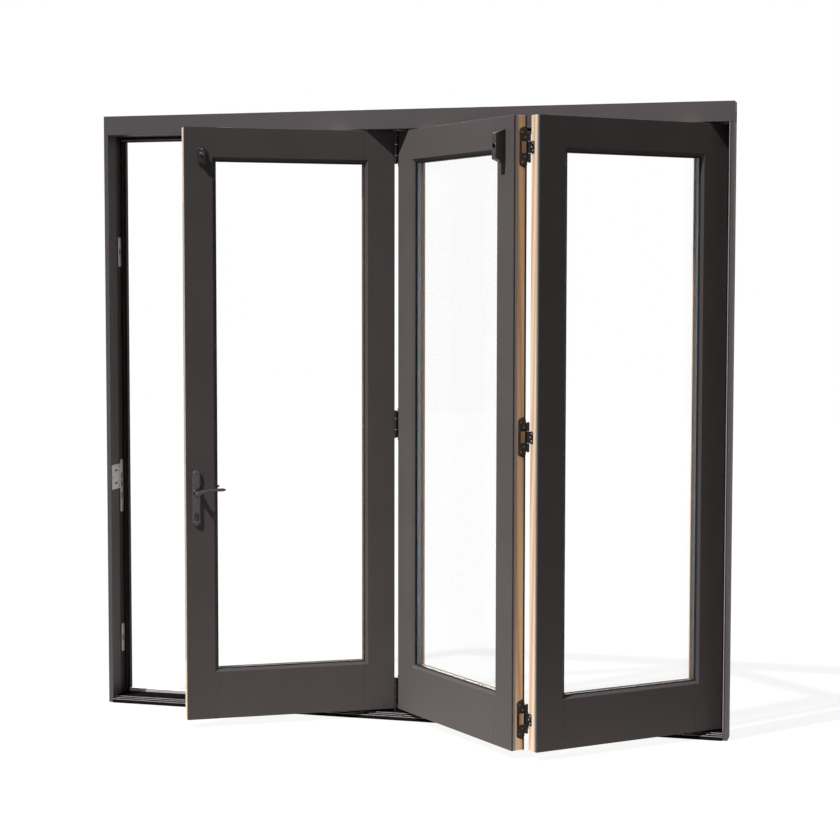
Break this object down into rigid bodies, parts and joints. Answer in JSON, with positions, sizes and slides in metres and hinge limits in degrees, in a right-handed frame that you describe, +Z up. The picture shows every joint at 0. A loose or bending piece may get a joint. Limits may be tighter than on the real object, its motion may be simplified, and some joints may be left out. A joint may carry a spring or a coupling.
{
  "type": "bifold glass patio door",
  "caption": "Folding glass patio door in its frame: tall metal-clad timber leaves with double glazing, hinged in a row, half folded outward along a head track and ribbed sill.",
  "frame": {"origin": "Middle of the sill's flat underside, half way along the frame and half way through its depth", "axes": "+X along the wall to the right as seen from outdoors, +Y into the building, +Z up"},
  "size_m": [2.666, 0.6975, 2.519],
  "materials": {
    "frame_cladding": "satin dark bronze-grey powder coat on aluminium",
    "frame_paint": "timber jamb painted dark bronze-grey, satin",
    "leaf_cladding": "satin dark bronze-grey powder coat on aluminium",
    "timber": "clear-finished pale softwood, straight grain",
    "glass": "clear float glass",
    "spacer_aluminium": "satin grey glass spacer",
    "track_aluminium": "satin black anodised aluminium",
    "sill_aluminium": "satin dark bronze anodised aluminium, ribbed",
    "sill_strip_aluminium": "satin mill aluminium",
    "weatherstrip": "matt black",
    "hinge_black": "satin black coated steel",
    "handle_bronze": "satin dark bronze coated metal",
    "steel": "satin stainless steel"
  },
  "bodies": {
    "door": {"head_cladding": "frame_cladding", "head_board": "frame_paint", "head_track": "track_aluminium", "left_jamb_cladding": "frame_cladding", "left_jamb_board": "frame_paint", "right_jamb_cladding": "frame_cladding", "right_jamb_board": "frame_paint", "sill": "sill_aluminium", "sill_strip": "sill_strip_aluminium", "frame_weatherstrip": "weatherstrip", "access_leaf_stiles": "timber", "access_leaf_rails": "timber", "access_leaf_stile_cladding": "leaf_cladding", "access_leaf_rail_cladding": "leaf_cladding", "access_leaf_glass": "glass", "middle_leaf_stiles": "timber", "middle_leaf_rails": "timber", "middle_leaf_stile_cladding": "leaf_cladding", "middle_leaf_rail_cladding": "leaf_cladding", "middle_leaf_glass": "glass", "jamb_leaf_stiles": "timber", "jamb_leaf_rails": "timber", "jamb_leaf_stile_cladding": "leaf_cladding", "jamb_leaf_rail_cladding": "leaf_cladding", "jamb_leaf_glass": "glass", "glazing_beads": "timber", "glass_spacers": "spacer_aluminium", "leaf_weatherstrips": "weatherstrip", "jamb_hinge_outer_plates": "hinge_black", "jamb_hinge_centre_plates": "hinge_black", "fold_hinge_outer_plates": "hinge_black", "fold_hinge_centre_plates": "hinge_black", "track_hinge_outer_plates": "hinge_black", "track_hinge_centre_plates": "hinge_black", "escutcheons": "handle_bronze", "lock_cylinder": "steel", "lock_faceplate": "steel", "catch_bullet": "handle_bronze", "catch_receiver": "handle_bronze", "trolley": "steel", "sill_guide": "steel", "strike_plates": "steel"},
    "lever": {"outside_lever": "handle_bronze", "inside_lever": "handle_bronze", "spindle": "steel"}
  },
  "joints": [
    {"name": "lever_turn", "type": "hinge", "parent": "door", "child": "lever", "pos_m": [-0.77309, -0.44044, 0.964], "axis": [-0.515, 0.8572, 0], "range_deg": [0, 45], "stiffness_Nm_per_rad": 1.2, "springref_deg": -34.38}
  ]
}
